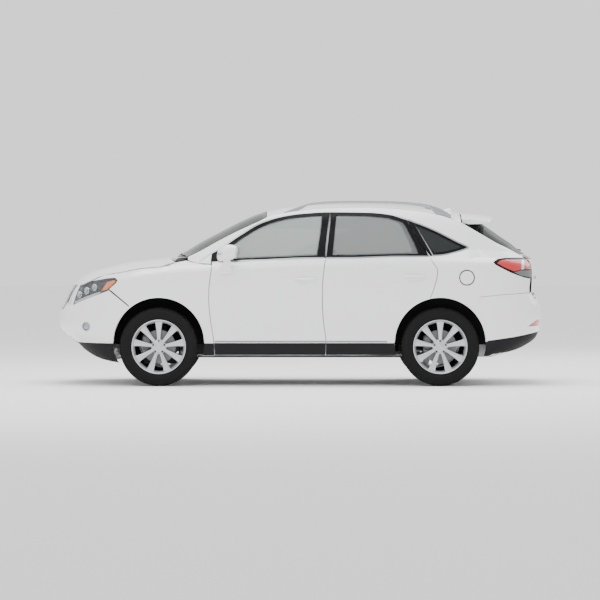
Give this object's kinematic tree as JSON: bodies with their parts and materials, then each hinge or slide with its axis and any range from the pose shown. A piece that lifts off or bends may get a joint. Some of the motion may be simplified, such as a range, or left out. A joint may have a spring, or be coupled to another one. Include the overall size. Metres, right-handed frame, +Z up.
{
  "type": "suv",
  "caption": "Mid-size five-door suv with opening doors, hood, tailgate and fuel flap, steered front wheels and four rolling wheels.",
  "frame": {"origin": "middle of the length and width, on the ground under the tyres", "axes": "-X forward, +X rearward, -Y the vehicle's left side, +Z up"},
  "size_m": [4.681, 2.1566, 1.7739],
  "materials": {
    "under_metal": "black underbody coating",
    "paint": "pearl white gloss paint",
    "rail_silver": "satin anodised",
    "black_trim": "grained black plastic",
    "clear_glass": "clear greenish safety glass",
    "lamp_clear": "clear lamp cover over chrome reflectors",
    "dark_glass": "dark privacy glass",
    "lamp_red": "red lamp cover",
    "cast": "cast metal",
    "steel": "bare machined steel",
    "wheel_silver": "silver lacquered alloy",
    "tyre_rubber": "tyre rubber",
    "cabin_plastic": "soft-touch beige plastic",
    "grip_leather": "dark leather",
    "seat_leather": "beige leather"
  },
  "bodies": {
    "body": {"floor_pan": "under_metal", "chassis_rails": "under_metal", "body_side_left": "paint", "body_side_right": "paint", "roof": "paint", "roof_rails": "rail_silver", "cowl": "black_trim", "windshield": "clear_glass", "grille": "black_trim", "front_bumper": "paint", "headlights": "lamp_clear", "front_fender_left": "paint", "front_fender_right": "paint", "quarter_glass": "dark_glass", "tail_lamps": "lamp_red", "rear_bumper": "paint", "arch_liners": "black_trim", "engine_block": "cast", "exhaust": "steel", "front_axle": "under_metal", "rear_axle": "under_metal", "dashboard": "cabin_plastic", "front_seats": "seat_leather", "rear_bench": "seat_leather"},
    "left_knuckle": {"knuckle_left": "cast"},
    "right_knuckle": {"knuckle_right": "cast"},
    "front_left_wheel": {"wheel_front_left": "wheel_silver", "tyre_front_left": "tyre_rubber"},
    "front_right_wheel": {"wheel_front_right": "wheel_silver", "tyre_front_right": "tyre_rubber"},
    "rear_left_wheel": {"wheel_rear_left": "wheel_silver", "tyre_rear_left": "tyre_rubber"},
    "rear_right_wheel": {"wheel_rear_right": "wheel_silver", "tyre_rear_right": "tyre_rubber"},
    "front_left_door": {"front_door_left": "paint", "front_door_glass_left": "clear_glass", "mirror_left": "paint"},
    "front_right_door": {"front_door_right": "paint", "front_door_glass_right": "clear_glass", "mirror_right": "paint"},
    "rear_left_door": {"rear_door_left": "paint", "rear_door_glass_left": "dark_glass"},
    "rear_right_door": {"rear_door_right": "paint", "rear_door_glass_right": "dark_glass"},
    "hood": {"hood": "paint"},
    "tailgate": {"tailgate": "paint", "rear_glass": "dark_glass"},
    "fuel_flap": {"fuel_flap": "paint"},
    "steering_wheel": {"steering_wheel": "grip_leather"}
  },
  "joints": [
    {"name": "steer_left", "type": "hinge", "parent": "body", "child": "left_knuckle", "pos_m": [-1.345, -0.765, 0.375], "axis": [0, 0, 1], "range_deg": [-35, 35]},
    {"name": "steer_right", "type": "hinge", "parent": "body", "child": "right_knuckle", "pos_m": [-1.345, 0.765, 0.375], "axis": [0, 0, 1], "range_deg": [-35, 35]},
    {"name": "roll_front_left", "type": "hinge", "parent": "left_knuckle", "child": "front_left_wheel", "pos_m": [-1.345, -0.805, 0.375], "axis": [0, 1, 0], "continuous": true},
    {"name": "roll_front_right", "type": "hinge", "parent": "right_knuckle", "child": "front_right_wheel", "pos_m": [-1.345, 0.805, 0.375], "axis": [0, 1, 0], "continuous": true},
    {"name": "roll_rear_left", "type": "hinge", "parent": "body", "child": "rear_left_wheel", "pos_m": [1.335, -0.805, 0.375], "axis": [0, 1, 0], "continuous": true},
    {"name": "roll_rear_right", "type": "hinge", "parent": "body", "child": "rear_right_wheel", "pos_m": [1.335, 0.805, 0.375], "axis": [0, 1, 0], "continuous": true},
    {"name": "front_left_door_open", "type": "hinge", "parent": "body", "child": "front_left_door", "pos_m": [-0.7985, -0.90027, 0.52], "axis": [0, 0.0414, -0.9991], "range_deg": [0, 65]},
    {"name": "front_right_door_open", "type": "hinge", "parent": "body", "child": "front_right_door", "pos_m": [-0.7985, 0.90027, 0.52], "axis": [0, 0.0414, 0.9991], "range_deg": [0, 65]},
    {"name": "rear_left_door_open", "type": "hinge", "parent": "body", "child": "rear_left_door", "pos_m": [0.2825, -0.90027, 0.52], "axis": [0, 0.0414, -0.9991], "range_deg": [0, 68]},
    {"name": "rear_right_door_open", "type": "hinge", "parent": "body", "child": "rear_right_door", "pos_m": [0.2825, 0.90027, 0.52], "axis": [0, 0.0414, 0.9991], "range_deg": [0, 68]},
    {"name": "hood_open", "type": "hinge", "parent": "body", "child": "hood", "pos_m": [-1.185, 0, 1.165], "axis": [0, 1, 0], "range_deg": [0, 50]},
    {"name": "tailgate_open", "type": "hinge", "parent": "body", "child": "tailgate", "pos_m": [1.58, 0, 1.626], "axis": [0, -1, 0], "range_deg": [0, 75]},
    {"name": "fuel_flap_open", "type": "hinge", "parent": "body", "child": "fuel_flap", "pos_m": [1.51847, -0.93066, 1.03404], "axis": [-0.0001, 0.0086, -1], "range_deg": [0, 85]},
    {"name": "steering_wheel_turn", "type": "hinge", "parent": "body", "child": "steering_wheel", "pos_m": [-0.56, -0.37, 0.96], "axis": [0.9272, 0, 0.3746], "range_deg": [-540, 540]}
  ],
  "couplings": [
    {"joint": "steer_right", "follows": "steer_left", "ratio": 1},
    {"joint": "steering_wheel_turn", "follows": "steer_left", "ratio": 15}
  ]
}
